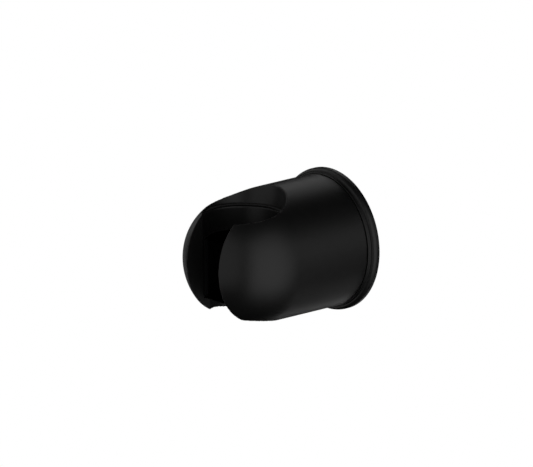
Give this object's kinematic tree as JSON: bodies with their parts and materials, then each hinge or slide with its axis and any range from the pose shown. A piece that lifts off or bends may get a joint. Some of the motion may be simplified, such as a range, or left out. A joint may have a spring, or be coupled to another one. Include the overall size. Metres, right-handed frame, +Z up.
{
  "type": "handheld shower wall holder",
  "caption": "Round wall holder for a handheld shower: a domed cradle with an upright slotted bore that swivels on a wall rosette.",
  "frame": {"origin": "centre of the wall plate's back face, on the wall and on the swivel's axis", "axes": "+Y points into the wall, the holder stands out along -Y, +Z is up"},
  "size_m": [0.045, 0.0522, 0.045],
  "materials": {
    "black_coating": "matte black coating on cast metal",
    "black_plastic": "black moulded plastic",
    "bearing_plastic": "natural bearing plastic",
    "black_rubber": "black rubber",
    "steel": "stainless steel",
    "brass": "plain turned brass"
  },
  "bodies": {
    "wall_mount": {"rosette": "black_coating", "slip_ring": "black_plastic", "wall_gasket": "black_rubber", "rosette_o_ring": "black_rubber", "wall_plate": "brass", "index_disc": "steel", "friction_washer": "bearing_plastic", "pivot_sleeve": "brass", "head_washer": "steel", "pivot_screw": "steel"},
    "cradle": {"cradle_shell": "black_coating", "grip_ring": "black_rubber", "hose_sleeve": "black_plastic", "pivot_bush": "bearing_plastic", "wave_washer": "steel", "detent_ball": "steel", "detent_spring": "steel", "stop_pin": "steel"}
  },
  "joints": [
    {"name": "cradle_swivel", "type": "hinge", "parent": "wall_mount", "child": "cradle", "pos_m": [0, 0, 0], "axis": [0, -1, 0], "range_deg": [-45, 45]}
  ]
}
